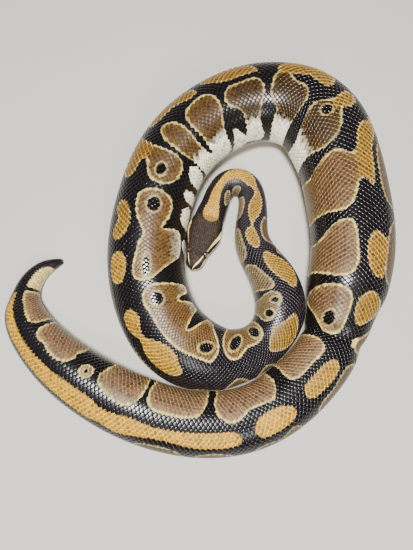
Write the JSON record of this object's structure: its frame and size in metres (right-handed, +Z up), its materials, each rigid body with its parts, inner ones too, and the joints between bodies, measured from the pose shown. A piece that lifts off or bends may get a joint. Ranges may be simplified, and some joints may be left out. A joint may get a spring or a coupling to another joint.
{
  "type": "coiled ball python",
  "caption": "Adult ball python lying still in a loose coil, tail hooked outside, neck looped and head at rest inside the coil.",
  "frame": {"origin": "centre of the coil's box on the floor, below the lowest point of the belly", "axes": "+Z up from the floor; +Y from the tail section that lies in front to the far bend of the coil; +X towards the long right-hand run"},
  "size_m": [0.3239, 0.3373, 0.0616],
  "materials": {
    "body_scales": "smooth glossy scales, near-black with tan blotches and golden marks",
    "head_scales": "smooth satin scales, dark brown with a pale stripe through each eye",
    "belly_scales": "broad satin scales, ivory with dark flecks at the edges",
    "eye": "wet clear spectacle over a dark iris"
  },
  "bodies": {
    "root": {"tail_tip": "body_scales", "tail": "body_scales", "trunk_1": "body_scales", "trunk_2": "body_scales", "trunk_3": "body_scales", "trunk_4": "body_scales", "trunk_5": "body_scales", "trunk_6": "body_scales", "trunk_7": "body_scales", "trunk_8": "body_scales", "trunk_9": "body_scales", "trunk_10": "body_scales", "trunk_11": "body_scales", "trunk_12": "body_scales", "neck_1": "body_scales", "neck_2": "body_scales", "neck_3": "body_scales", "head": "head_scales", "lower_jaw": "belly_scales", "eye_left": "eye", "eye_right": "eye"}
  },
  "joints": []
}
